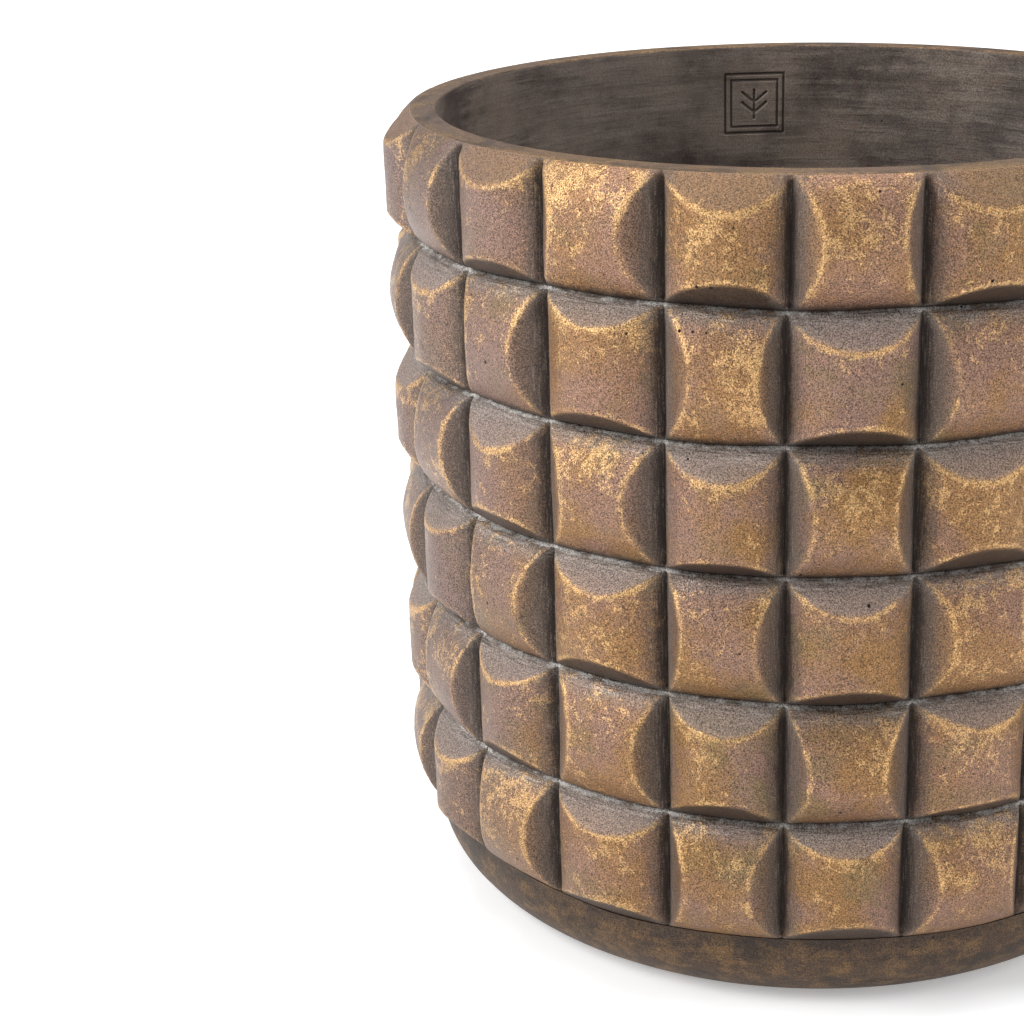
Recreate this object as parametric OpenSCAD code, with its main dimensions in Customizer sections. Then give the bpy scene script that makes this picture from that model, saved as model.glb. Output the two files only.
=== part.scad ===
// Heavy cylindrical planter pot. Six courses of pillow-shaped studs in a chequer stand on a
// rounded foot ring, and a smooth lip closes the top. The bottom has a plugged drain hole.
// Millimetres, +Z up, origin at the centre of the underside.

/* [Studs] */
// Radius over the crests of the studs
crest_r = 200; // [190:1:230]
// How deep the grooves between the studs are
groove_depth = 13; // [9:0.5:15]
// Number of studs round each course, an even number
studs_round = 22; // [18:2:26]
// Height of each of the five lower courses
course_h = 56.6; // [50:0.2:62]
// Height of the top course, below the lip
top_course_h = 51; // [46:0.5:56]
// Width of the flat bevels on two sides of every stud
bevel_w = 12; // [8:0.5:14]
// Turn of the whole stud pattern about the pot's axis, in degrees
pattern_turn = -3.2; // [-8:0.1:8]

/* [Wall] */
// Wall thickness between the bottom of the grooves and the inside
wall_t = 13; // [11:0.5:18]
// Thickness of the smooth inner lining
lining_t = 6; // [4:0.5:8]
// Thickness of the lip above the top course
lip_h = 3; // [2:0.5:5]
// Height of the lip's skirt, which stands on the lining inside the top course
lip_skirt_h = 9; // [6:0.5:12]

/* [Foot] */
// Height of the plain foot ring
foot_h = 38; // [32:1:46]
// Radius of the foot ring's rounded outside, seen in section
foot_round_r = 37.2; // [37:0.1:37.5]
// Width of the flat ring that the pot stands on
foot_land_w = 25; // [18:1:30]

/* [Floor] */
// Height of the underside of the floor above the ground
floor_z = 14; // [10:1:18]
// Thickness of the floor
floor_t = 20; // [18:1:21]
// Radius of the drain hole
drain_r = 12; // [8:0.5:14]
// Radius of the seat that the plug's head sinks into
drain_seat_r = 20; // [18:0.5:26]
// Depth of the seat
drain_seat_h = 7; // [5:0.5:9]
// Gap between the plug and the floor all round
plug_gap = 0.3; // [0.2:0.05:0.5]

/* [Stamp] */
// Width of the square stamp pressed into the inside wall
stamp_w = 33; // [24:1:40]
// Distance from the rim down to the middle of the stamp
stamp_drop = 31; // [30:1:40]
// Place of the stamp round the wall, in degrees from the back
stamp_turn = 9; // [-180:1:180]
// Width of the stamp's lines
stamp_line_w = 1.4; // [1:0.1:2]
// Depth of the stamp's lines
stamp_depth = 0.8; // [0.4:0.1:1.5]

/* [Hidden] */
$fn = 96;

groove_r = crest_r - groove_depth;
inner_r = groove_r - wall_t;
lining_r = inner_r + lining_t;
step = 360 / studs_round;
courses = 6;
stack_z = foot_h + (courses - 1) * course_h;
course_top_z = stack_z + top_course_h;
rim_z = course_top_z + lip_h;
skirt_z = rim_z - lip_h - lip_skirt_h;
floor_top_z = floor_z + floor_t;

// How far the ring that a course is cut from stands past the crests, and the cutters past the ring
over = 3;
clear = 1;
// How much deeper the upright grooves are than the level ones
extra_depth = 0.6;
// How much narrower the cutters of one stud are than its share of the course, in degrees
sector_gap = 0.2;
// Straight stretches that draw each arched outline
arc_steps = 10;
lip_round_r = 3;
foot_round_z = 34;

patina = [0.52, 0.39, 0.24];
dark_patina = [0.24, 0.21, 0.19];
plug_black = [0.07, 0.07, 0.07];

// Distance from the pot's axis to the centre of the arc that goes through the crest and through
// two points at (edge_r, +-edge_w)
function arc_centre(edge_r, edge_w) =
    (crest_r * crest_r - edge_r * edge_r - edge_w * edge_w) / (2 * (crest_r - edge_r));

// Points of an arc about (cx, cy), between two angles
function arc(cx, cy, r, from, to) =
    [for (i = [0 : arc_steps]) let (a = from + (to - from) * i / arc_steps) [cx + r * cos(a), cy + r * sin(a)]];

function bottom_of(course) = foot_h + (courses - course) * course_h;
function height_of(course) = course == 1 ? top_course_h : course_h;

module ring(r_in, r_out, z, h) {
    rotate_extrude($fn = 180)
        polygon([[r_in, z], [r_out, z], [r_out, z + h], [r_in, z + h]]);
}

// Sweeps a section over one stud's share of the course
module stud_sweep() {
    rotate([0, 0, (sector_gap - step) / 2])
        rotate_extrude(angle = step - sector_gap, $fn = 180)
            children();
}

// Space below and above a side-to-side stud: its two flat bevels
module level_bevel_cut(z, h) {
    slope = bevel_w / groove_depth;
    reach = crest_r + over + clear;
    rise = slope * (reach - groove_r);
    stud_sweep() {
        polygon([[groove_r - clear / slope, z - clear], [reach, z - clear], [reach, z + rise]]);
        polygon([[groove_r - clear / slope, z + h + clear], [reach, z + h - rise], [reach, z + h + clear]]);
    }
}

// Space in front of a top-to-bottom stud: its level arch
module level_arch_cut(z, h) {
    centre = arc_centre(groove_r, h / 2);
    arch_r = crest_r - centre;
    edge = asin((h / 2 + clear) / arch_r);
    reach = crest_r + over + clear;
    stud_sweep()
        polygon(concat(arc(centre, z + h / 2, arch_r, -edge, edge),
                       [[reach, z + h + clear], [reach, z - clear]]));
}

// Outer end of the flat bevel on the stud next to a side-to-side stud, seen from above
function neighbour_bevel(side, bottom_r, reach) =
    let (edge_r = bottom_r * cos(step / 2),
         width = bottom_r * sin(step / 2) - (reach - edge_r) * bevel_w / (crest_r - edge_r),
         turn = side * step)
    [reach * cos(turn) + side * width * sin(turn), reach * sin(turn) - side * width * cos(turn)];

// Space round a side-to-side stud: its upright arch, and the flat bevels of its two neighbours
module upright_cut(z, h) {
    bottom_r = groove_r - extra_depth;
    edge_w = bottom_r * sin(step / 2);
    centre = arc_centre(bottom_r * cos(step / 2), edge_w);
    arch_r = crest_r - centre;
    edge = asin(edge_w / arch_r);
    reach = crest_r + 2 * over;
    translate([0, 0, z - clear])
        linear_extrude(height = h + 2 * clear)
            polygon(concat(arc(centre, 0, arch_r, -edge, edge),
                           [neighbour_bevel(1, bottom_r, reach), [reach, 0], neighbour_bevel(-1, bottom_r, reach)]));
}

// Angles of every second stud of a course, starting with the first or with the second
function stud_angles(first) = [for (i = [first : 2 : studs_round - 1]) pattern_turn - 90 + (i + 0.5) * step];

// One course of studs, cut from a plain ring; the two kinds of stud take turns round it
module stud_course(course) {
    z = bottom_of(course);
    h = height_of(course);
    first = course % 2;
    color(patina)
        difference() {
            ring(lining_r, crest_r + over, z, h);
            for (a = stud_angles(first))
                rotate([0, 0, a]) {
                    upright_cut(z, h);
                    level_bevel_cut(z, h);
                }
            for (a = stud_angles(1 - first))
                rotate([0, 0, a])
                    level_arch_cut(z, h);
        }
}

// Smooth lip: it lies on the top course, and its skirt stands on the lining
module lip_ring() {
    corner_r = groove_r - lip_round_r;
    color(patina)
        rotate_extrude($fn = 180)
            polygon(concat([[inner_r, skirt_z], [lining_r, skirt_z], [lining_r, course_top_z]],
                           arc(corner_r, rim_z - lip_round_r, lip_round_r, 0, 90),
                           [[inner_r, rim_z]]));
}

// Plain foot: rounded outside, flat land below, and a ledge inside that carries the floor
module foot_ring() {
    centre = sqrt(foot_round_r * foot_round_r - pow(foot_h - foot_round_z, 2));
    section_x = groove_r - centre;
    low = -asin(foot_round_z / foot_round_r);
    high = asin((foot_h - foot_round_z) / foot_round_r);
    land_r = section_x + foot_round_r * cos(low);
    color(patina)
        rotate_extrude($fn = 180)
            polygon(concat([[land_r - foot_land_w, floor_z], [land_r - foot_land_w, 0]],
                           arc(section_x, foot_round_z, foot_round_r, low, high),
                           [[lining_r, foot_h], [lining_r, floor_z]]));
}

// Lines of the stamp, as upright bars in the X-Z plane that cut through the wall along Y
module stamp_bars() {
    reach = 12;
    inset = 3;
    stem_h = 0.5 * stamp_w;
    leaf_l = 0.26 * stamp_w;
    leaf_tilt = 40;
    for (w = [stamp_w, stamp_w - 2 * inset]) {
        for (side = [-1, 1]) {
            translate([side * (w - stamp_line_w) / 2, 0, 0])
                cube([stamp_line_w, reach, w], center = true);
            translate([0, 0, side * (w - stamp_line_w) / 2])
                cube([w, reach, stamp_line_w], center = true);
        }
    }
    cube([stamp_line_w, reach, stem_h], center = true);
    for (side = [-1, 1], rise = [0, 0.22 * stamp_w])
        translate([0, 0, rise - stem_h / 4])
            rotate([0, -side * leaf_tilt, 0])
                translate([side * leaf_l / 2, 0, 0])
                    cube([leaf_l, reach, stamp_line_w], center = true);
}

// Smooth inner wall with a plain sprout stamp pressed in near the rim
module lining() {
    color(dark_patina)
        difference() {
            ring(inner_r, lining_r, floor_top_z, skirt_z - floor_top_z);
            intersection() {
                ring(inner_r - 1, inner_r + stamp_depth, skirt_z - stamp_w - stamp_drop, stamp_w + stamp_drop);
                rotate([0, 0, stamp_turn])
                    translate([0, inner_r, rim_z - stamp_drop])
                        stamp_bars();
            }
        }
}

// Floor with its drain hole and the seat for the plug's head
module floor_disc() {
    color(dark_patina)
        difference() {
            translate([0, 0, floor_z])
                cylinder(h = floor_t, r = lining_r, $fn = 180);
            translate([0, 0, floor_z - 1])
                cylinder(h = floor_t + 2, r = drain_r);
            translate([0, 0, floor_top_z - drain_seat_h])
                cylinder(h = drain_seat_h + 1, r = drain_seat_r);
        }
}

// Rubber plug: flat head, tapered stem and a pull tab with a finger hole
module drain_plug() {
    sink = 1;
    edge = 1;
    taper = 1.5;
    head_r = drain_seat_r - plug_gap;
    head_h = drain_seat_h - sink;
    head_z = floor_top_z - drain_seat_h + plug_gap;
    head_top_z = head_z + head_h;
    stem_h = floor_t - drain_seat_h - sink;
    stem_r = drain_r - plug_gap;
    tab_w = 16;
    tab_t = 4;
    tab_h = 11;
    tab_hole_r = 3.5;
    tab_straight_h = tab_h - tab_w / 2 + 2;
    tab_root = 0.5;
    color(plug_black) {
        rotate_extrude()
            polygon([[0, head_z - stem_h], [stem_r - taper, head_z - stem_h], [stem_r, head_z - stem_h / 2],
                     [stem_r, head_z], [head_r, head_z], [head_r, head_top_z - edge], [head_r - edge, head_top_z],
                     [0, head_top_z]]);
        difference() {
            translate([0, tab_t / 2, head_top_z - tab_root])
                rotate([90, 0, 0])
                    linear_extrude(height = tab_t)
                        union() {
                            translate([-tab_w / 2, 0])
                                square([tab_w, tab_straight_h]);
                            translate([0, tab_straight_h])
                                circle(r = tab_w / 2);
                        }
            translate([0, tab_t, head_top_z + tab_h / 2])
                rotate([90, 0, 0])
                    cylinder(h = 2 * tab_t, r = tab_hole_r);
        }
    }
}

lip_ring();
stud_course(1);  // stud_course_1
stud_course(2);  // stud_course_2
stud_course(3);  // stud_course_3
stud_course(4);  // stud_course_4
stud_course(5);  // stud_course_5
stud_course(6);  // stud_course_6
foot_ring();
lining();
floor_disc();
drain_plug();
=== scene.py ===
"""Looks of a heavy, studded planter pot: hand-cast courses of pillow studs under a worn bronze patina."""
import math

import bpy
import numpy as np
from mathutils import Matrix, Vector


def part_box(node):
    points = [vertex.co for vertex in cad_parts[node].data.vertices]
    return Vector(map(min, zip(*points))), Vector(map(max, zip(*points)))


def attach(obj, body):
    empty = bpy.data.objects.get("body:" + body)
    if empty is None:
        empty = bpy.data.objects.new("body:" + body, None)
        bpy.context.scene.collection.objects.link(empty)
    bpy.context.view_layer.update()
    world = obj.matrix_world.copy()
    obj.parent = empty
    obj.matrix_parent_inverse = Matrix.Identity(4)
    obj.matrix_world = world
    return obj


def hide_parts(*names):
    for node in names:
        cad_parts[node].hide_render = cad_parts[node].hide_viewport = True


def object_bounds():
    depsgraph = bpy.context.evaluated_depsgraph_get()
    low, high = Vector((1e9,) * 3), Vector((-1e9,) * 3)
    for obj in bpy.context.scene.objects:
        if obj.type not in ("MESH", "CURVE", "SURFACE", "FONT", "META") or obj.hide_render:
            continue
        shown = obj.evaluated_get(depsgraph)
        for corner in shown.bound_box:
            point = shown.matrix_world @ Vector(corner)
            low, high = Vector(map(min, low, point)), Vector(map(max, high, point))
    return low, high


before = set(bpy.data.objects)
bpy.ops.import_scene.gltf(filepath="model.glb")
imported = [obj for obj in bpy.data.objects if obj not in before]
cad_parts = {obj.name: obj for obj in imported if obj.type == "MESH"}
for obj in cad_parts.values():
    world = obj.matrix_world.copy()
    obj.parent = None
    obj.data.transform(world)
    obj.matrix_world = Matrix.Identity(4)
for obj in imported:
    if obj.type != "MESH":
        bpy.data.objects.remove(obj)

START_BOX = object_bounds()
MM = 0.001

# ---------------------------------------------------------------- sizes: from the frame, or repeated from the part
COURSES = 6
STUDS = 22
STEP = 2 * math.pi / STUDS
PATTERN_TURN = math.radians(-3.2)
LINING_T = 6 * MM
GROOVE_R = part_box("lip_ring")[1].x
LINING_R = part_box("lining")[1].x
INNER_R = LINING_R - LINING_T
CREST_R = 0.5 * (START_BOX[1].x - START_BOX[0].x)
DEPTH = CREST_R - GROOVE_R
BEVEL = 12 * MM
FOOT_ROUND_R = 37.2 * MM
FOOT_ROUND_Z = 34 * MM
FOOT_LAND_W = 25 * MM
DRAIN_R = 12 * MM
DRAIN_SEAT_R = 20 * MM
DRAIN_SEAT_H = 7 * MM
PLUG_STEM_R = 11.7 * MM
PLUG_STEM_H = 12 * MM
PLUG_HEAD_H = 6 * MM
TAB_HALF = 7.7 * MM
TAB_T = 3.6 * MM
TAB_HOLE_R = 3.4 * MM
STAMP_TURN = math.radians(9)
STAMP_DROP = 31 * MM
STAMP_FRAMES = (16 * MM, 12.6 * MM)
STAMP_LINE_W = 1.4 * MM
STAMP_DEPTH = 0.8 * MM
FLOOR_REACH = 60.0
RIM_Z = START_BOX[1].z
FOOT_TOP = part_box("foot_ring")[1].z
COURSE_TOP = {c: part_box(f"stud_course_{c}")[1].z for c in range(1, COURSES + 1)}
COURSE_TOP[COURSES + 1] = FOOT_TOP
LIP_DROP = 0.5 * MM
COURSE_TOP[1] = RIM_Z - LIP_DROP

# Larger air holes in front, read off the photo. Each has the groove at the left of its stud, counted
# from the middle one, the course, its shares across and down the stud, and its radius in mm
FRONT_PITS = [
    (-1, 1, 0.35, 0.80, 0.7), (-1, 1, 0.45, 0.80, 0.6), (-1, 2, 0.20, 0.15, 0.7), (-1, 2, 0.30, 0.15, 0.6),
    (-1, 2, 0.40, 0.15, 0.5), (0, 2, 0.80, 0.50, 0.6), (-2, 2, 0.80, 0.20, 0.6), (-3, 2, 0.50, 0.60, 0.8),
    (-1, 3, 0.25, 0.10, 0.5), (0, 3, 0.10, 0.95, 0.8), (0, 4, 0.60, 0.15, 0.8),
]


def srgb(red, green, blue):
    """Linear colour of a 0-255 screen colour."""
    linear = [(c / 255 / 12.92) if c < 11 else ((c / 255 + 0.055) / 1.055) ** 2.4 for c in (red, green, blue)]
    return (*linear, 1.0)


# ---------------------------------------------------------------- mesh helpers
def smooth_noise(points, size, seed):
    """Value noise from -1 to 1 at (..., 3) points, with one lump about every `size` metres."""
    side = 32
    table = np.random.default_rng(seed).uniform(-1, 1, (side, side, side))
    q = points / size + 1000
    cell = np.floor(q).astype(int)
    f = q - cell
    f = f * f * (3 - 2 * f)
    total = 0
    for dx in (0, 1):
        for dy in (0, 1):
            for dz in (0, 1):
                weight = (np.where(dx, f[..., 0], 1 - f[..., 0]) * np.where(dy, f[..., 1], 1 - f[..., 1])
                          * np.where(dz, f[..., 2], 1 - f[..., 2]))
                corner = (cell + (dx, dy, dz)) % side
                total = total + weight * table[corner[..., 0], corner[..., 1], corner[..., 2]]
    return total


def smooth_step(low, high, x):
    t = np.clip((x - low) / (high - low), 0, 1)
    return t * t * (3 - 2 * t)


def smooth_min(a, b, width):
    """Lower of a and b, with the crease between them rounded over `width`."""
    h = np.maximum(width - np.abs(a - b), 0) / width
    return np.minimum(a, b) - h * h * width / 4


def on_cylinder(radius, angle, z):
    """Points at an angle from -Y towards +X."""
    return np.stack([radius * np.sin(angle), -radius * np.cos(angle), z], axis=-1)


def ring_faces(rows, columns):
    """Quads between neighbouring rows of points round the pot, the last row joined to the first."""
    row, column = np.meshgrid(np.arange(rows), np.arange(columns), indexing="ij")
    next_row, next_column = (row + 1) % rows, (column + 1) % columns
    corners = [(row, column), (row, next_column), (next_row, next_column), (next_row, column)]
    return np.stack([r * columns + c for r, c in corners], -1).reshape(-1, 4)


def make_piece(name, points, quads, masks, material, body, node):
    """A smooth-shaded mesh piece that stands for a CAD node and rides on its body."""
    mesh = bpy.data.meshes.new(name)
    mesh.from_pydata(points.reshape(-1, 3).tolist(), [], quads.tolist())
    mesh.polygons.foreach_set("use_smooth", np.ones(len(quads), bool))
    for mask, values in masks.items():
        layer = mesh.attributes.new(mask, "FLOAT", "POINT")
        layer.data.foreach_set("value", np.ascontiguousarray(values, np.float32).ravel())
    mesh.update()
    mesh.set_sharp_from_angle(angle=math.radians(60))
    piece = bpy.data.objects.new(name, mesh)
    bpy.context.scene.collection.objects.link(piece)
    mesh.materials.append(material)
    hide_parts(node)
    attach(piece, body)
    return piece


def lathe(profile, columns, wander=0.0, seed=0):
    """Points and quads of a closed profile (radius, z) turned round the axis.

    `wander` is how far the outside strays from true.
    """
    angle = np.arange(columns) * 2 * math.pi / columns
    profile = np.array(profile, float)
    radius = np.repeat(profile[:, :1], columns, 1)
    height = np.repeat(profile[:, 1:], columns, 1)
    points = on_cylinder(radius, angle[None, :] + 0 * radius, height)
    if wander:
        push = wander * smooth_noise(points, 28 * MM, seed)
        points = on_cylinder(radius + push * (radius > LINING_R), angle[None, :] + 0 * radius, height)
    return points, ring_faces(len(profile), columns)


def arc(centre_r, centre_z, radius, start, end, count):
    """Points (radius, z) of an arc in the section plane, angles in degrees."""
    angles = np.radians(np.linspace(start, end, count))
    return [(centre_r + radius * math.cos(a), centre_z + radius * math.sin(a)) for a in angles]


def line(start, end, count):
    """Evenly spaced points (radius, z) from start up to, but not at, end."""
    return [tuple(p) for p in np.linspace(start, end, count, endpoint=False)]


# ---------------------------------------------------------------- the shape of the studs
def groove_angles():
    """Angle of every upright groove from -Y towards +X, each a little out of place as on a hand-made pot."""
    shifts = np.random.default_rng(3).uniform(-0.5, 0.5, STUDS)
    return PATTERN_TURN + np.arange(STUDS) * STEP + np.radians(shifts)


GROOVES = groove_angles()


def seam_height(course, angle):
    """Height of the top edge of a course (or of the foot, one past the last) round the pot."""
    level = COURSE_TOP[course]
    if course == 1:
        return level + 0 * angle
    rng = np.random.default_rng(40 + course)
    wave = sum(rng.uniform(0.15, 0.4) * MM * np.sin(k * angle + rng.uniform(0, 6.3)) for k in (2, 5, 9, 14))
    return level + wave


def crowded(count, crowding):
    """Values from -1 to 1 that lie closer together near both ends."""
    v = np.linspace(-1, 1, count)
    return v + crowding * np.sin(math.pi * v) / math.pi


def upright_arch(u, grow):
    """Rise of a stud that rounds from side to side, above the groove radius."""
    edge = GROOVE_R * math.cos(STEP / 2)
    half = GROOVE_R * math.sin(STEP / 2)
    centre = (CREST_R ** 2 - GROOVE_R ** 2) / (2 * (CREST_R - edge))
    radius = math.hypot(edge - centre, half)
    local = u * STEP / 2
    rise = centre * np.cos(local) + np.sqrt(radius ** 2 - (centre * np.sin(local)) ** 2) - GROOVE_R
    return rise * grow


def level_arch(y, half_h, grow):
    """Rise of a stud that rounds from top to bottom."""
    radius = (half_h ** 2 + DEPTH ** 2) / (2 * DEPTH)
    return (np.sqrt(np.maximum(radius ** 2 - y ** 2, 0)) - (radius - DEPTH)) * grow


def course_mesh(course):
    """Points, quads and surface masks of one course of studs, as a closed ring."""
    rng = np.random.default_rng(100 + course)
    across, up = (58, 61)
    u = crowded(across + 1, 0.5)[:-1]
    t = crowded(up, 0.45)
    stud = np.repeat(np.arange(STUDS), across)
    u = np.tile(u, STUDS)[None, :] + 0 * t[:, None]
    t = t[:, None] + 0 * u
    stud = stud[None, :] + 0 * u.astype(int)

    def per_stud(low, high):
        return rng.uniform(low, high, STUDS)[stud]

    nudge = np.radians(rng.uniform(-0.22, 0.22, STUDS))
    left = GROOVES[stud] + nudge[stud]
    right = np.where(stud == STUDS - 1, GROOVES[0] + 2 * math.pi + nudge[0],
                     GROOVES[(stud + 1) % STUDS] + nudge[(stud + 1) % STUDS])
    angle = left + (right - left) * (u + 1) / 2
    top, bottom = seam_height(course, angle), seam_height(course + 1, angle)
    z = bottom + (top - bottom) * (t + 1) / 2
    half_h = (COURSE_TOP[course] - COURSE_TOP[course + 1]) / 2
    half_w = GROOVE_R * STEP / 2
    x, y = u * half_w, t * half_h

    side_arched = stud % 2 == course % 2
    points = on_cylinder(CREST_R + 0 * z, angle, z)
    wobble = smooth_noise(points, 24 * MM, 7) * 0.9 * MM
    grow = per_stud(0.90, 0.985)
    low_bevel, high_bevel = BEVEL * per_stud(0.85, 1.15), BEVEL * per_stud(0.9, 1.3)
    tilt = per_stud(-0.16, 0.16)
    slope_y = np.where(t > 0, DEPTH / high_bevel, DEPTH / low_bevel) * (1 + tilt * u)
    slope_x = np.where(u > 0, DEPTH / low_bevel, DEPTH / high_bevel) * (1 + tilt * t)
    rounded = np.where(side_arched, upright_arch(u, grow), level_arch(y, half_h, grow))
    flat = np.where(side_arched, slope_y * (half_h - np.abs(y)), slope_x * (half_w - np.abs(x)))
    flat = flat + wobble * smooth_step(0, 4 * MM, flat)
    rise = smooth_min(rounded, flat, 1.9 * MM)

    from_side = half_w - np.abs(x)
    from_top, from_bottom = half_h - y, half_h + y
    groove_cut = 2.4 * MM * np.exp(-(from_side / (1.9 * MM)) ** 2)
    groove_cut = groove_cut * smooth_step(0, 3 * MM, half_h - np.abs(y))
    foot_joint = course == COURSES
    seam_cut = (0.5 if foot_joint else 1.4) * MM * np.exp(-(from_bottom / (1.3 * MM)) ** 2)
    if course > 1:
        seam_cut = seam_cut + 1.4 * MM * np.exp(-(from_top / (1.3 * MM)) ** 2)
    inland = smooth_step(0, 6 * MM, np.minimum(from_top, from_bottom))
    lumps = (0.35 * smooth_noise(points, 16 * MM, 11) + 0.16 * smooth_noise(points, 6 * MM, 12)
             + 0.12 * smooth_noise(points, 2.2 * MM, 13)) * MM * (0.25 + 0.75 * inland)
    radius = np.minimum(GROOVE_R + rise - np.maximum(groove_cut, seam_cut) + lumps, CREST_R)
    outer = on_cylinder(radius, angle, z)

    shelf = [on_cylinder(LINING_R + 0 * angle[row], angle[row], z[row]) for row in (0, -1)]
    rows, columns = z.shape
    points = np.concatenate([outer, shelf[1][None], shelf[0][None]])
    quads = ring_faces(rows + 2, columns)

    on_bevel = smooth_step(-1.2 * MM, 1.2 * MM, rounded - flat)
    ridge = np.exp(-((rounded - flat + 0.7 * MM) / (1.3 * MM)) ** 2) * smooth_step(0.5 * MM, 4 * MM, rise)
    masks = {
        "from_side": from_side / (10 * MM),
        "from_top": from_top / (10 * MM) + (3 if course == 1 else 0),
        "from_bottom": from_bottom / (10 * MM) + (0.3 if foot_joint else 0),
        "ridge": ridge,
        "sky": on_bevel * side_arched * (t > 0),
        "ground": on_bevel * side_arched * (t < 0),
        "flank": on_bevel * ~side_arched,
        "rise": rise / DEPTH,
        "lift": t,
        "tone": per_stud(0, 1),
    }
    padding = np.zeros((2, columns))
    masks = {name: np.concatenate([values, padding]) for name, values in masks.items()}
    return points, quads, masks


# ---------------------------------------------------------------- shader helper
class Shader:
    """A material's node tree, with short ways to make and join its nodes."""

    def __init__(self, name):
        self.material = bpy.data.materials.new(name)
        self.material.use_nodes = True
        self.tree = self.material.node_tree
        self.tree.nodes.clear()
        self.output = self.tree.nodes.new("ShaderNodeOutputMaterial")
        self.surface = self.tree.nodes.new("ShaderNodeBsdfPrincipled")
        self.tree.links.new(self.surface.outputs[0], self.output.inputs["Surface"])
        self.place = self.tree.nodes.new("ShaderNodeTexCoord").outputs["Object"]

    def put(self, socket, value):
        """Joins a socket to another node's output, or sets it."""
        if isinstance(value, bpy.types.NodeSocket):
            self.tree.links.new(value, socket)
        else:
            socket.default_value = value

    def math(self, operation, a, b=0.0, c=0.0):
        node = self.tree.nodes.new("ShaderNodeMath")
        node.operation = operation
        for socket, value in zip(node.inputs, (a, b, c)):
            self.put(socket, value)
        return node.outputs[0]

    def add(self, *terms):
        total = terms[0]
        for term in terms[1:]:
            total = self.math("ADD", total, term)
        return total

    def times(self, *factors):
        product = factors[0]
        for factor in factors[1:]:
            product = self.math("MULTIPLY", product, factor)
        return product

    def between(self, value, low, high, to_low=0.0, to_high=1.0):
        """Smooth step from low to high."""
        node = self.tree.nodes.new("ShaderNodeMapRange")
        node.interpolation_type = "SMOOTHSTEP"
        for name, number in (("From Min", low), ("From Max", high), ("To Min", to_low), ("To Max", to_high)):
            node.inputs[name].default_value = number
        self.put(node.inputs["Value"], value)
        return node.outputs["Result"]

    def mix(self, amount, a, b, blend="MIX"):
        node = self.tree.nodes.new("ShaderNodeMix")
        node.data_type = "RGBA"
        node.blend_type = blend
        self.put(node.inputs["Factor"], amount)
        self.put(node.inputs[6], a)
        self.put(node.inputs[7], b)
        return node.outputs[2]

    def mask(self, name):
        node = self.tree.nodes.new("ShaderNodeAttribute")
        node.attribute_name = name
        return node.outputs["Fac"]

    def stretched(self, x=1.0, y=1.0, z=1.0, vector=None):
        node = self.tree.nodes.new("ShaderNodeMapping")
        node.inputs["Scale"].default_value = (x, y, z)
        self.put(node.inputs["Vector"], vector or self.place)
        return node.outputs[0]

    def round_the_pot(self, outside=True, with_radius=True):
        """Vector of arc, height and radius, so that patterns can run round the wall.

        Its one break lies at the back of the outside, or at the front of the inside.
        """
        split = self.tree.nodes.new("ShaderNodeSeparateXYZ")
        self.put(split.inputs[0], self.place)
        angle = self.math("ARCTAN2", split.outputs[0], self.times(split.outputs[1], -1.0 if outside else 1.0))
        join = self.tree.nodes.new("ShaderNodeCombineXYZ")
        self.put(join.inputs[0], self.times(angle, GROOVE_R))
        self.put(join.inputs[1], split.outputs[2])
        if with_radius:
            across = self.math("POWER", split.outputs[0], 2.0)
            deep = self.math("POWER", split.outputs[1], 2.0)
            self.put(join.inputs[2], self.math("SQRT", self.add(across, deep)))
        return join.outputs[0]

    def noise(self, size, detail=3.0, roughness=0.55, vector=None, distortion=0.0):
        """Noise with features of about `size` metres, 0 to 1."""
        node = self.tree.nodes.new("ShaderNodeTexNoise")
        self.put(node.inputs["Vector"], vector or self.place)
        node.inputs["Scale"].default_value = 1 / size
        node.inputs["Detail"].default_value = detail
        node.inputs["Roughness"].default_value = roughness
        node.inputs["Distortion"].default_value = distortion
        return node.outputs["Fac"]

    def cells(self, size):
        """Voronoi cells of about `size` metres."""
        node = self.tree.nodes.new("ShaderNodeTexVoronoi")
        self.put(node.inputs["Vector"], self.place)
        node.inputs["Scale"].default_value = 1 / size
        return node

    def bump(self, height, distance, strength):
        node = self.tree.nodes.new("ShaderNodeBump")
        node.inputs["Strength"].default_value = strength
        node.inputs["Distance"].default_value = distance
        self.put(node.inputs["Height"], height)
        return node.outputs[0]

    def finish(self, colour, roughness, metallic, normal):
        self.put(self.surface.inputs["Base Color"], colour)
        self.put(self.surface.inputs["Roughness"], roughness)
        self.put(self.surface.inputs["Metallic"], metallic)
        self.put(self.surface.inputs["Normal"], normal)
        return self.material


def pinholes(shader, size, share, radius):
    """1 inside the rare round pits left by air bubbles: a share of the cells of a Voronoi pattern has one."""
    cells = shader.cells(size)
    chosen = shader.tree.nodes.new("ShaderNodeSeparateColor")
    shader.put(chosen.inputs[0], cells.outputs["Color"])
    rare = shader.math("LESS_THAN", chosen.outputs[0], share)
    near = shader.between(cells.outputs["Distance"], radius * 0.55, radius, 1.0, 0.0)
    return shader.times(rare, near)


# ---------------------------------------------------------------- materials
def listed_pits(shader):
    """1 inside the larger air holes that show in front."""
    around = shader.round_the_pot(with_radius=False)
    total = 0.0
    for groove, course, across, down, radius in FRONT_PITS:
        angle = PATTERN_TURN + (groove + across) * STEP
        height = COURSE_TOP[course] - down * (COURSE_TOP[course] - COURSE_TOP[course + 1])
        gap = shader.tree.nodes.new("ShaderNodeVectorMath")
        gap.operation = "DISTANCE"
        shader.put(gap.inputs[0], around)
        gap.inputs[1].default_value = (angle * GROOVE_R, height, 0)
        inside = shader.between(gap.outputs["Value"], 0.6 * radius * MM, radius * MM, 1.0, 0.0)
        total = shader.math("MAXIMUM", total, inside)
    return total


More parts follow.
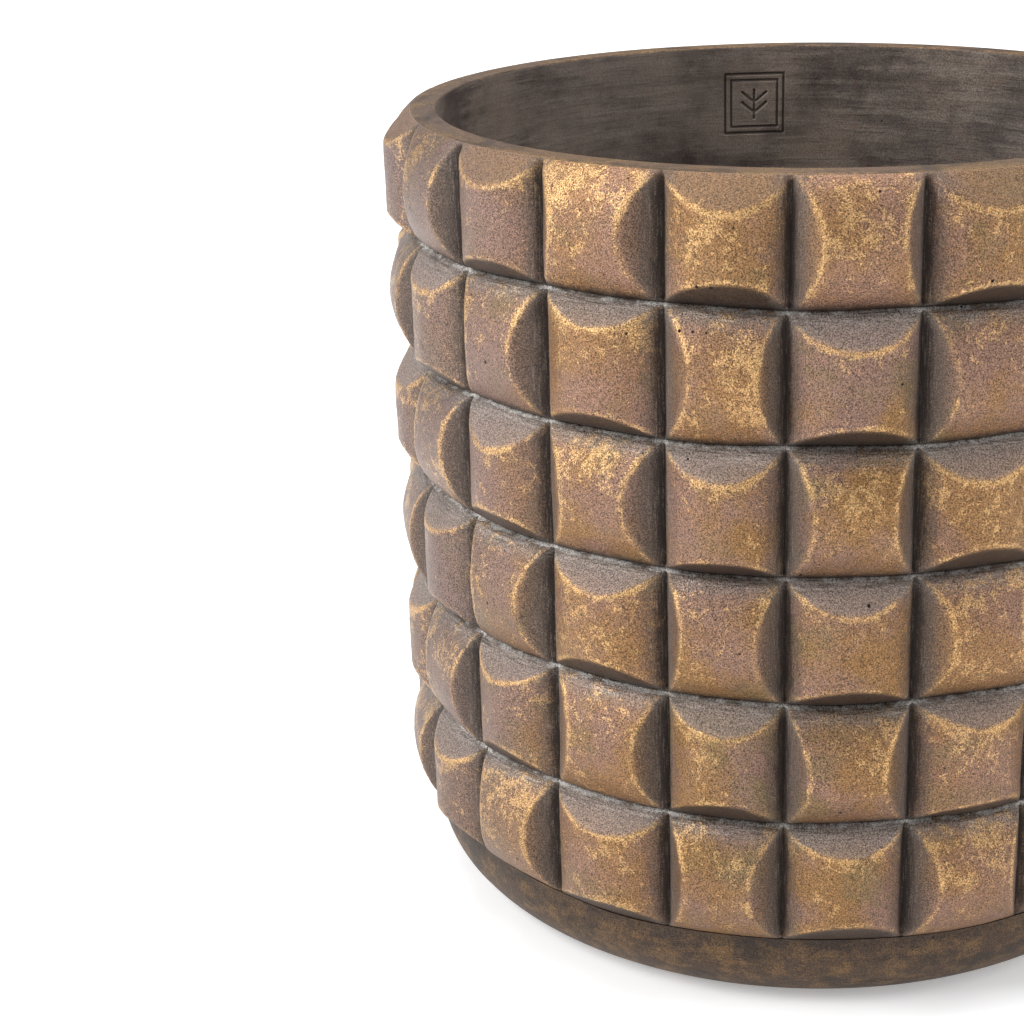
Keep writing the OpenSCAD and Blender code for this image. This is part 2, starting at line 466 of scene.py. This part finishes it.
def grey_of(shader, value):
    """A grey colour of the given brightness, for multiplying."""
    grey = shader.tree.nodes.new("ShaderNodeCombineColor")
    for socket in grey.inputs[:3]:
        shader.put(socket, value)
    return grey.outputs[0]


def base_browns(s, tone):
    """Broad pinkish, olive and brown clouds; greyer on the pot's left."""
    patches = s.noise(42 * MM, 4, 0.6)
    olive = s.noise(30 * MM, 4, 0.6, s.stretched(1.0, 1.0, 1.3))
    colour = s.mix(s.between(patches, 0.38, 0.60), srgb(128, 100, 86), srgb(134, 100, 62))
    colour = s.mix(s.times(s.between(olive, 0.52, 0.70), 0.7), colour, srgb(114, 98, 66))
    colour = s.mix(s.times(tone, 0.35), colour, srgb(142, 104, 76))
    split = s.tree.nodes.new("ShaderNodeSeparateXYZ")
    s.put(split.inputs[0], s.place)
    return s.mix(s.between(split.outputs[0], -0.09, -0.18, 0.0, 0.7), colour, srgb(106, 92, 88)), patches


def facet_tints(s, colour, grain):
    """Top bevels and course tops greyed: partly a grey deposit, partly painted sheen from above. Bottom bevels
    darkened: painted shade with some dark patina. Shaded side bevels.
    """
    from_side, from_top = s.mask("from_side"), s.mask("from_top")
    # Top bevels turn grey (brown on the top course): partly a grey deposit, partly painted sheen of light from
    # above.
    top_course = s.between(from_top, 2.4, 3.0)
    dust_and_sheen = s.mix(top_course, srgb(140, 126, 118), srgb(112, 88, 66))
    colour = s.mix(s.times(s.mask("sky"), 0.62), colour, dust_and_sheen)
    # Bottom bevels, which face down, are darkened: painted shade, with some dark patina.
    colour = s.mix(s.times(s.mask("ground"), 0.92), colour, srgb(58, 45, 36))
    shaded = s.times(s.mask("flank"), s.between(from_side, 1.15, 0.35, 0.35, 0.80))
    colour = s.mix(shaded, colour, srgb(92, 78, 68))
    # Top band of every course but the first is greyed: partly a grey deposit, partly painted sheen of light from
    # above.
    greying = s.between(s.add(from_top, s.times(s.math("SUBTRACT", grain, 0.5), 1.2)), 1.05, 0.05)
    return s.mix(s.times(greying, 0.66), colour, srgb(132, 124, 118))


def groove_shade_and_dirt(s, colour, blotch, grain, around):
    """Painted shade, with dark patina, in and beside the upright grooves and along the bottom of each course;
    scratches; pale residue in the joints.
    """
    from_side, from_top, from_bottom = s.mask("from_side"), s.mask("from_top"), s.mask("from_bottom")
    upright = s.noise(0.9 * MM, 3, 0.65, s.stretched(1.0, 0.07, 1.0, around))
    level = s.noise(0.9 * MM, 3, 0.65, s.stretched(0.07, 1.0, 1.0, around))
    ragged = s.add(s.times(s.math("SUBTRACT", blotch, 0.5), 0.7),
                   s.times(s.math("SUBTRACT", grain, 0.5), 0.8),
                   s.times(s.math("SUBTRACT", upright, 0.5), 0.7))
    # Wide dark veil beside the upright grooves: painted shade, with dark patina.
    veil = s.between(s.add(from_side, ragged), 0.98, 0.20)
    colour = s.mix(s.times(veil, 0.55), colour, srgb(78, 68, 62))
    taper = s.between(s.math("ABSOLUTE", s.mask("lift")), 0.70, 1.0, 0.0, 0.30)
    # Near-black groove bottoms: painted shade, with dark patina.
    core = s.between(s.add(from_side, taper, s.times(ragged, 0.7)), 0.38, 0.10)
    colour = s.mix(s.times(core, 0.80), colour, srgb(54, 46, 42))
    # Dark band along the bottom of each course, where it turns in to the seam: painted shade.
    under = s.between(s.add(from_bottom, s.times(ragged, 0.6)), 0.55, 0.04)
    colour = s.mix(s.times(under, 0.85), colour, srgb(38, 32, 29))
    scratch = s.times(s.between(upright, 0.53, 0.64), s.between(from_side, 0.80, 0.15),
                      s.between(grain, 0.42, 0.56))
    colour = s.mix(s.times(scratch, 0.60), colour, srgb(150, 138, 128))
    brushed = s.times(s.between(level, 0.52, 0.64), s.between(from_top, 0.9, 0.15),
                      s.between(grain, 0.36, 0.56))
    colour = s.mix(s.times(brushed, 0.60), colour, srgb(184, 176, 168))
    joint_line = s.times(s.between(level, 0.46, 0.34), s.between(from_top, 0.7, 0.1))
    colour = s.mix(s.times(joint_line, 0.75), colour, srgb(52, 46, 43))
    edge = s.add(from_top, s.times(s.math("SUBTRACT", blotch, 0.5), 0.25))
    band = s.times(s.between(edge, -0.02, 0.03), s.between(edge, 0.17, 0.07))
    broken = s.between(s.noise(7 * MM, 4, 0.7), 0.42, 0.56)
    near_crossing = s.times(s.between(from_side, 0.7, 0.1), 0.8)
    residue = s.times(band, s.math("MAXIMUM", broken, near_crossing), s.between(grain, 0.34, 0.56))
    colour = s.mix(s.times(residue, 0.9), colour, srgb(222, 218, 212))
    return colour, s.math("MAXIMUM", veil, core)


def plain_wear_and_shade(s, colour, grain, around):
    """The lip and the foot: darker, brushed level, with dark smudges; darkest on the foot, with painted shade just
    under the studs.
    """
    level = s.noise(0.9 * MM, 3, 0.65, s.stretched(0.07, 1.0, 1.0, around))
    low = s.between(s.mask("lift"), 0.3, 0.0)
    colour = s.mix(0.66, colour, srgb(80, 63, 45))
    bronze = s.between(s.noise(11 * MM, 6, 0.72), 0.46, 0.60)
    colour = s.mix(s.times(low, 0.78), colour, s.mix(bronze, srgb(66, 50, 38), srgb(106, 80, 50)))
    colour = s.mix(s.times(s.between(level, 0.54, 0.70), 0.40), colour, srgb(52, 42, 34))
    smudges = s.between(s.noise(14 * MM, 5, 0.7, s.stretched(0.45, 1.0, 1.0, around)), 0.50, 0.62)
    colour = s.mix(s.times(smudges, 0.60), colour, srgb(42, 35, 30))
    # Darker band at the top of the foot, under the bulging lowest course: painted shade, with the dark joint.
    near_joint = s.times(low, s.between(s.mask("from_top"), 0.9, 0.0))
    colour = s.mix(s.times(near_joint, 0.6), colour, srgb(48, 40, 35))
    grainy = s.mix(1.0, colour, grey_of(s, s.between(grain, 0.32, 0.68, 0.35, 1.65)), "MULTIPLY")
    return s.mix(low, colour, grainy)


def patina(name, studs=True):
    """Worn bronze finish: mottled brown, gold where it rubs with a painted highlight along the upper ridges,
    painted shade with dark patina in the grooves, and pale residue in the joints.
    """
    s = Shader(name)
    blotch = s.noise(5.5 * MM, 4, 0.65, distortion=0.6)
    crumbs = s.noise(1.5 * MM, 3, 0.7)
    grain = s.noise(0.62 * MM, 2, 0.8)
    around = s.round_the_pot()
    ridge, rise, lift, tone = (s.mask(m) for m in ("ridge", "rise", "lift", "tone"))
    upper = s.between(lift, -0.3, 0.8)
    colour, patches = base_browns(s, tone)
    if studs:
        colour = facet_tints(s, colour, grain)
        # Gold along the stud ridges, stronger on their upper halves: partly wear where the ridges rub, partly a
        # painted highlight of light from above.
        rubbed_and_highlight = s.times(ridge, s.between(s.noise(12 * MM, 3, 0.6), 0.36, 0.58),
                         s.add(0.35, s.times(upper, 0.65)))
        colour = s.mix(s.times(rubbed_and_highlight, 0.62), colour, srgb(194, 152, 98))
    on_bevels = s.add(s.mask("sky"), s.mask("ground"), s.mask("flank"))
    broad = s.between(s.noise(19 * MM, 3, 0.6), 0.42, 0.62)
    worn = s.add(s.times(ridge, 0.30), s.times(upper, 0.16), s.times(broad, 0.20), s.times(tone, 0.10),
                 s.times(s.between(patches, 0.40, 0.68), 0.14), s.times(rise, 0.08),
                 s.times(on_bevels, -0.34))
    flakes = s.add(s.times(blotch, 0.50), s.times(crumbs, 0.34), s.times(grain, 0.16))
    gold = s.between(s.add(flakes, s.times(worn, 0.38)), 0.655, 0.725)
    colour = s.mix(s.times(gold, 0.52), colour, srgb(200, 162, 112))
    colour = s.mix(1.0, colour, grey_of(s, s.between(grain, 0.30, 0.70, 0.22, 1.85)), "MULTIPLY")
    if studs:
        colour, shade = groove_shade_and_dirt(s, colour, blotch, grain, around)
    else:
        colour, shade = plain_wear_and_shade(s, colour, grain, around), 0.0
    pits = s.math("MAXIMUM", pinholes(s, 11 * MM, 0.16, 0.075), pinholes(s, 5 * MM, 0.10, 0.09))
    pits = s.math("MAXIMUM", pits, listed_pits(s))
    colour = s.mix(pits, colour, srgb(18, 14, 12))

    dust_and_sheen = s.times(s.mask("sky"), 0.16)
    rough = s.add(0.34 if studs else 0.46, s.times(grain, 0.20), s.times(shade, 0.26),
                  s.times(gold, -0.06), dust_and_sheen)
    metallic = s.add(0.62 if studs else 0.45, s.times(gold, 0.22), s.times(shade, -0.50),
                     s.times(dust_and_sheen, -1.5))
    fine = s.add(s.times(grain, 1.0), s.times(crumbs, 0.8), s.times(blotch, 1.2), s.times(pits, -3.0))
    return s.finish(colour, rough, metallic, s.bump(fine, 0.35 * MM, 0.9))


def dark_inside(name):
    """Brushed dark wash on the plain inner wall and the floor, with painted light on their left."""
    s = Shader(name)
    around = s.round_the_pot(outside=False)
    strokes = s.noise(6 * MM, 4, 0.6, s.stretched(0.10, 1.0, 1.0, around))
    fine_strokes = s.noise(1.2 * MM, 3, 0.6, s.stretched(0.06, 1.0, 1.0, around))
    clouds = s.noise(60 * MM, 4, 0.6)
    grain = s.noise(0.8 * MM, 2, 0.6)
    spots = s.noise(7 * MM, 2, 0.5)
    colour = s.mix(s.between(clouds, 0.38, 0.64), srgb(82, 71, 65), srgb(118, 104, 92))
    colour = s.mix(s.times(s.between(strokes, 0.45, 0.64), 0.6), colour, srgb(130, 118, 108))
    colour = s.mix(s.times(s.between(fine_strokes, 0.53, 0.66), 0.55), colour, srgb(46, 40, 37))
    colour = s.mix(s.times(s.between(s.noise(24 * MM, 5, 0.7), 0.50, 0.66), 0.45), colour, srgb(48, 40, 37))
    colour = s.mix(1.0, colour, grey_of(s, s.between(grain, 0.30, 0.70, 0.55, 1.40)), "MULTIPLY")
    colour = s.mix(s.times(s.between(spots, 0.66, 0.74), 0.35), colour, srgb(116, 72, 50))
    # Lighter on the left of the inner wall and floor, where the clouds are light: painted light.
    split = s.tree.nodes.new("ShaderNodeSeparateXYZ")
    s.put(split.inputs[0], s.place)
    painted_light_left = s.times(s.between(split.outputs[0], 0.09, -0.08), s.between(clouds, 0.34, 0.56))
    colour = s.mix(s.times(painted_light_left, 0.40), colour, srgb(138, 124, 114))
    pressed = s.mask("pressed")
    colour = s.mix(s.times(pressed, 0.6), colour, srgb(34, 29, 27))
    pits = pinholes(s, 14 * MM, 0.10, 0.06)
    colour = s.mix(pits, colour, srgb(26, 21, 18))
    rough = s.add(0.42, s.times(grain, 0.14), s.times(strokes, 0.12))
    height = s.add(s.times(strokes, 1.0), s.times(fine_strokes, 0.4), s.times(grain, 0.3),
                   s.times(pits, -2.0))
    return s.finish(colour, rough, 0.15, s.bump(height, 0.35 * MM, 0.7))


def moulded_rubber(name):
    """Black rubber with a powdery bloom and mould grain."""
    s = Shader(name)
    greying = s.noise(9 * MM, 4, 0.6)
    grain = s.noise(0.5 * MM, 2, 0.5)
    colour = s.mix(s.between(greying, 0.40, 0.70), srgb(26, 25, 25), srgb(56, 53, 50))
    rough = s.add(0.62, s.times(greying, 0.2))
    return s.finish(colour, rough, 0.0, s.bump(grain, 0.15 * MM, 0.5))


def pale_floor(name):
    """Matt studio floor."""
    s = Shader(name)
    tone = s.noise(0.8, 2, 0.5)
    colour = s.mix(s.between(tone, 0.3, 0.7), (0.86, 0.86, 0.86, 1), (0.89, 0.89, 0.89, 1))
    s.surface.inputs["Emission Color"].default_value = (1, 1, 1, 1)
    far = s.tree.nodes.new("ShaderNodeVectorMath")
    far.operation = "LENGTH"
    s.put(far.inputs[0], s.place)
    s.put(s.surface.inputs["Emission Strength"], s.between(far.outputs["Value"], 0.5, 2.5, 0.30, 1.0))
    return s.finish(colour, 0.8, 0.0, s.bump(s.noise(4 * MM, 2, 0.5), 0.05 * MM, 0.1))


# ---------------------------------------------------------------- pieces
def build_courses(material):
    for course in range(1, COURSES + 1):
        points, quads, masks = course_mesh(course)
        node = f"stud_course_{course}"
        make_piece(f"course_{course}", points, quads, masks, material, "pot", node)


def build_lip(material, inside):
    """Smooth lip: crisp inside, softly rounded where it rolls over to the studs."""
    skirt_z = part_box("lip_ring")[0].z
    inner = INNER_R
    outer_z = COURSE_TOP[1]
    edge = 1.0 * MM
    outside = GROOVE_R - 0.7 * edge
    profile = (line((LINING_R, outer_z - 2 * MM), (LINING_R, skirt_z), 3)
               + line((LINING_R, skirt_z), (inner, skirt_z), 3)
               + line((inner, skirt_z), (inner, RIM_Z - edge), 8)
               + arc(inner + edge, RIM_Z - edge, edge, 180, 90, 6)
               + line((inner + 2 * edge, RIM_Z), (GROOVE_R - 2.2 * edge, RIM_Z), 8)
               + arc(GROOVE_R - 2.2 * edge, RIM_Z - 1.6 * edge, 1.6 * edge, 90, 20, 6)
               + line((outside, RIM_Z - 1.6 * edge), (outside, RIM_Z - 3 * edge), 2))
    points, quads = lathe(profile, 900, 0.25 * MM, 21)
    points[..., 2] = np.minimum(points[..., 2], RIM_Z)
    shape = points.shape[:2]
    radius = np.hypot(points[..., 0], points[..., 1])
    masks = {
        "rise": np.full(shape, 0.8),
        "lift": np.full(shape, 0.55),
        "from_top": np.full(shape, 3.0),
        "ridge": 0.9 * smooth_step(GROOVE_R - 6 * MM, GROOVE_R, radius),
        "tone": np.full(shape, 0.4),
    }
    lip = make_piece("lip", points, quads, masks, material, "pot", "lip_ring")
    lip.data.materials.append(inside)
    below_edge = [(face.center.z < RIM_Z - 0.8 * edge) and math.hypot(*face.center.xy) < inner + edge
                  for face in lip.data.polygons]
    lip.data.polygons.foreach_set("material_index", np.array(below_edge, int))


def build_foot(material):
    """Plain foot: rounds in to the flat land, with the ledge inside that carries the floor."""
    floor_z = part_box("floor_disc")[0].z
    round_r, round_z = FOOT_ROUND_R, FOOT_ROUND_Z
    section_x = GROOVE_R - math.sqrt(round_r ** 2 - (FOOT_TOP - round_z) ** 2)
    land_r = section_x + round_r * math.cos(math.asin(round_z / round_r))
    inner_land = land_r - FOOT_LAND_W
    start = -math.degrees(math.asin(round_z / round_r))
    end = math.degrees(math.asin((FOOT_TOP - round_z) / round_r))
    profile = (line((inner_land, floor_z), (inner_land, 0), 4)
               + line((inner_land, 0), (land_r, 0), 8)
               + arc(section_x, round_z, round_r, start, end, 44)
               + line((GROOVE_R - 0.6 * MM, FOOT_TOP), (LINING_R, FOOT_TOP), 3)
               + line((LINING_R, FOOT_TOP), (LINING_R, floor_z), 3)
               + line((LINING_R, floor_z), (inner_land, floor_z), 5))
    points, quads = lathe(profile, 1000, 0.45 * MM, 31)
    radius = np.hypot(points[..., 0], points[..., 1])
    angle = np.arctan2(points[..., 0], -points[..., 1])
    top_edge = (radius > LINING_R + 1 * MM) * smooth_step(FOOT_TOP - 6 * MM, FOOT_TOP, points[..., 2])
    points[..., 2] += top_edge * (seam_height(COURSES + 1, angle) - FOOT_TOP)
    points[..., 2] = np.maximum(points[..., 2], 0)
    from_top = np.maximum(FOOT_TOP - points[..., 2], 0) / (10 * MM)
    shape = points.shape[:2]
    masks = {
        "rise": np.full(shape, 0.3),
        "lift": points[..., 2] / FOOT_TOP - 0.9,
        "from_top": from_top,
        "tone": np.full(shape, 0.3),
    }
    make_piece("foot", points, quads, masks, material, "pot", "foot_ring")


def bar_depth(x, y, start, end, width):
    """1 inside a straight pressed line from start to end, fading over its edge."""
    start, end = np.array(start), np.array(end)
    along = end - start
    share = np.clip(((x - start[0]) * along[0] + (y - start[1]) * along[1]) / (along @ along), 0, 1)
    away = np.hypot(x - start[0] - share * along[0], y - start[1] - share * along[1])
    return 1 - smooth_step(width * 0.35, width * 0.65, away)


def stamp_depth(x, y):
    """Depth, 0 to 1, of the plain sprout stamp at (x, y) from its middle."""
    width = STAMP_LINE_W
    depth = 0
    for half in STAMP_FRAMES:
        corners = [(-half, -half), (half, -half), (half, half), (-half, half)]
        for start, end in zip(corners, corners[1:] + corners[:1]):
            depth = np.maximum(depth, bar_depth(x, y, start, end, width))
    depth = np.maximum(depth, bar_depth(x, y, (0, -8 * MM), (0, 7 * MM), width))
    for foot in (-5 * MM, 0.5 * MM):
        for side in (-1, 1):
            depth = np.maximum(depth, bar_depth(x, y, (0, foot), (side * 6.5 * MM, foot + 5.5 * MM), width))
    return depth


def build_lining(material):
    """Inner wall: fine where the stamp is pressed in, coarse elsewhere."""
    low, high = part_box("lining")
    stamp_angle = math.pi + STAMP_TURN
    stamp_z = RIM_Z - STAMP_DROP
    half = 19 * MM
    span = half / INNER_R
    fine = np.linspace(stamp_angle - span, stamp_angle + span, 130)
    rest = np.linspace(stamp_angle + span, stamp_angle - span + 2 * math.pi, 280)[1:-1]
    angle = np.concatenate([fine, rest])
    below, beside = np.linspace(low.z, stamp_z - half, 60)[:-1], np.linspace(stamp_z - half, high.z, 125)
    height = np.concatenate([below, beside])
    angle, z = np.meshgrid(angle, height)
    base = on_cylinder(INNER_R + 0 * z, angle, z)
    x = (angle - stamp_angle) * INNER_R
    near = np.abs(x) < half
    pressed = np.where(near, stamp_depth(np.clip(x, -half, half), z - stamp_z), 0.0)
    lumps = 0.5 * smooth_noise(base, 40 * MM, 51) + 0.15 * smooth_noise(base, 9 * MM, 52)
    ends = smooth_step(0, 8 * MM, np.minimum(z - low.z, high.z - z))
    inner = on_cylinder(INNER_R + pressed * STAMP_DEPTH + (0.4 + lumps * 0.8) * MM * ends, angle, z)
    outer = on_cylinder(LINING_R + 0 * z[[-1, 0]], angle[[-1, 0]], z[[-1, 0]])
    points = np.concatenate([inner, outer])
    rows, columns = points.shape[:2]
    quads = ring_faces(rows, columns)[:, ::-1]
    masks = {"pressed": np.concatenate([pressed, np.zeros((2, columns))])}
    make_piece("inner_wall", points, quads, masks, material, "pot", "lining")


def build_floor_disc(material):
    """Floor of the pot, hand-smoothed, with its drain hole and the seat for the plug."""
    low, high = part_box("floor_disc")
    hole, seat, seat_z, soft = DRAIN_R, DRAIN_SEAT_R, high.z - DRAIN_SEAT_H, 1.5 * MM
    profile = (line((hole, low.z), (hole, seat_z), 4) + line((hole, seat_z), (seat, seat_z), 5)
               + line((seat, seat_z), (seat, high.z - soft), 4)
               + arc(seat + soft, high.z - soft, soft, 180, 90, 6)
               + line((seat + 2 * soft, high.z), (LINING_R, high.z), 60)
               + line((LINING_R, high.z), (LINING_R, low.z), 4)
               + line((LINING_R, low.z), (hole, low.z), 40))
    points, quads = lathe(profile, 360)
    radius = np.hypot(points[..., 0], points[..., 1])
    top = (points[..., 2] > high.z - 0.1 * MM) * smooth_step(seat + 3 * MM, seat + 12 * MM, radius)
    points[..., 2] -= top * (0.5 + 0.4 * smooth_noise(points, 26 * MM, 61)) * MM
    make_piece("pot_floor", points, quads[:, ::-1], {}, material, "pot", "floor_disc")


def build_plug(material):
    """Rubber plug: a rolled-edge head on a tapered stem, and a pull tab with a finger hole."""
    low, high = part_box("drain_plug")
    head_r = high.x
    head_top = low.z + PLUG_STEM_H + PLUG_HEAD_H
    head_low = low.z + PLUG_STEM_H
    stem = PLUG_STEM_R
    profile = (line((0, low.z), (stem - 2.5 * MM, low.z), 5)
               + arc(stem - 2.5 * MM, low.z + 1 * MM, 1 * MM, -90, 0, 5)
               + line((stem - 1.2 * MM, low.z + 2 * MM), (stem, low.z + 6 * MM), 4)
               + line((stem, low.z + 6 * MM), (stem, head_low), 4)
               + line((stem, head_low), (head_r, head_low), 6)
               + line((head_r, head_low), (head_r, head_top - 2 * MM), 3)
               + arc(head_r - 2 * MM, head_top - 2 * MM, 2 * MM, 0, 90, 7)
               + line((head_r - 3 * MM, head_top - 0.4 * MM), (0, head_top - 0.4 * MM), 12))
    points, quads = lathe(profile, 96)
    tab_points, tab_quads = pull_tab(head_top - 0.9 * MM, high.z)
    points = points.reshape(-1, 3)
    quads = np.concatenate([quads, tab_quads + len(points)])
    points = np.concatenate([points, tab_points])
    make_piece("plug", points, quads, {}, material, "plug", "drain_plug")


def pull_tab(low_z, high_z):
    """Rounded tab with a hole, as a closed ring of sections from the hole out to the edge."""
    sides, thick, half = 64, TAB_T, TAB_HALF
    centre_z = high_z - half
    around = np.arange(sides) * 2 * math.pi / sides
    direction = np.stack([np.cos(around), np.sin(around)], -1)
    reach = np.full(sides, half)
    below = direction[:, 1] < 0
    square = half / np.maximum(np.abs(direction[:, 0]), 0.01)
    floor_reach = (centre_z - low_z) / np.maximum(-direction[:, 1], 0.01)
    reach[below] = np.minimum(np.minimum(square, floor_reach), half * 1.4)[below]
    hole = np.full(sides, TAB_HOLE_R)
    soft = 0.8 * MM
    ring = []
    for radius, y in ((hole, -thick / 2 + soft), (hole + soft, -thick / 2), (reach - soft, -thick / 2),
                      (reach, -thick / 2 + soft), (reach, thick / 2 - soft), (reach - soft, thick / 2),
                      (hole + soft, thick / 2), (hole, thick / 2 - soft)):
        across, up = direction[:, 0] * radius, centre_z + direction[:, 1] * radius
        ring.append(np.stack([across, np.full(sides, y), up], -1))
    points = np.array(ring)
    return points.reshape(-1, 3), ring_faces(len(ring), sides)


# ---------------------------------------------------------------- studio
def area_light(name, place, target, size, power):
    lamp = bpy.data.lights.new(name, "AREA")
    lamp.shape = "RECTANGLE"
    lamp.size, lamp.size_y = size
    lamp.energy = power
    holder = bpy.data.objects.new(name, lamp)
    holder.location = place
    holder.rotation_euler = (Vector(target) - Vector(place)).to_track_quat("-Z", "Y").to_euler()
    bpy.context.scene.collection.objects.link(holder)


def build_studio():
    """Pale floor, a soft key from the left, a fill from the right and a soft top light."""
    mesh = bpy.data.meshes.new("studio_floor")
    corners = [(x * FLOOR_REACH, y * FLOOR_REACH, 0) for x, y in ((-1, -1), (1, -1), (1, 1), (-1, 1))]
    mesh.from_pydata(corners, [], [(0, 1, 2, 3)])
    floor = bpy.data.objects.new("studio_floor", mesh)
    bpy.context.scene.collection.objects.link(floor)
    mesh.materials.append(pale_floor("studio_floor"))
    middle = (0, 0, 0.2)
    area_light("key", (-1.9, -0.8, 1.6), middle, (1.2, 1.6), 57)
    area_light("fill", (2.0, -0.5, 1.4), middle, (1.0, 1.6), 19)
    area_light("top", (0.0, 0.4, 2.2), middle, (2.2, 1.6), 44)
    world = bpy.data.worlds.new("studio")
    world.use_nodes = True
    back = world.node_tree.nodes["Background"]
    back.inputs["Color"].default_value = (0.92, 0.95, 1.0, 1)
    back.inputs["Strength"].default_value = 0.38
    bpy.context.scene.world = world
    bpy.context.scene.view_settings.view_transform = "Standard"


def build_camera():
    """A camera about a metre off that looks down at the pot and keeps it right of the picture's middle.

    Its place, angles and lens were fitted to the rim, the joint lines and the grooves in the photo.
    """
    distance, height = 1.0023, 0.5336
    turn = math.radians(-1.2)
    yaw, pitch, roll = math.radians(5.285), math.radians(19.98), math.radians(-0.966)
    data = bpy.data.cameras.new("camera")
    data.sensor_width = 36
    data.lens = 74.96
    data.shift_x = -0.105
    camera = bpy.data.objects.new("camera", data)
    place = Vector((distance * math.sin(turn), -distance * math.cos(turn), height))
    heading = Matrix.Rotation(turn + yaw, 4, "Z")
    tip = Matrix.Rotation(math.pi / 2 - pitch, 4, "X")
    spin = Matrix.Rotation(roll, 4, "Z")
    camera.matrix_world = Matrix.Translation(place) @ heading @ tip @ spin
    bpy.context.scene.collection.objects.link(camera)
    bpy.context.scene.camera = camera


build_camera()
build_studio()
STUD_PATINA = patina("stud_patina")
PLAIN_PATINA = patina("plain_patina", studs=False)
INSIDE = dark_inside("dark_inside")
build_courses(STUD_PATINA)
build_lip(PLAIN_PATINA, INSIDE)
build_foot(PLAIN_PATINA)
build_lining(INSIDE)
build_floor_disc(INSIDE)
build_plug(moulded_rubber("moulded_rubber"))
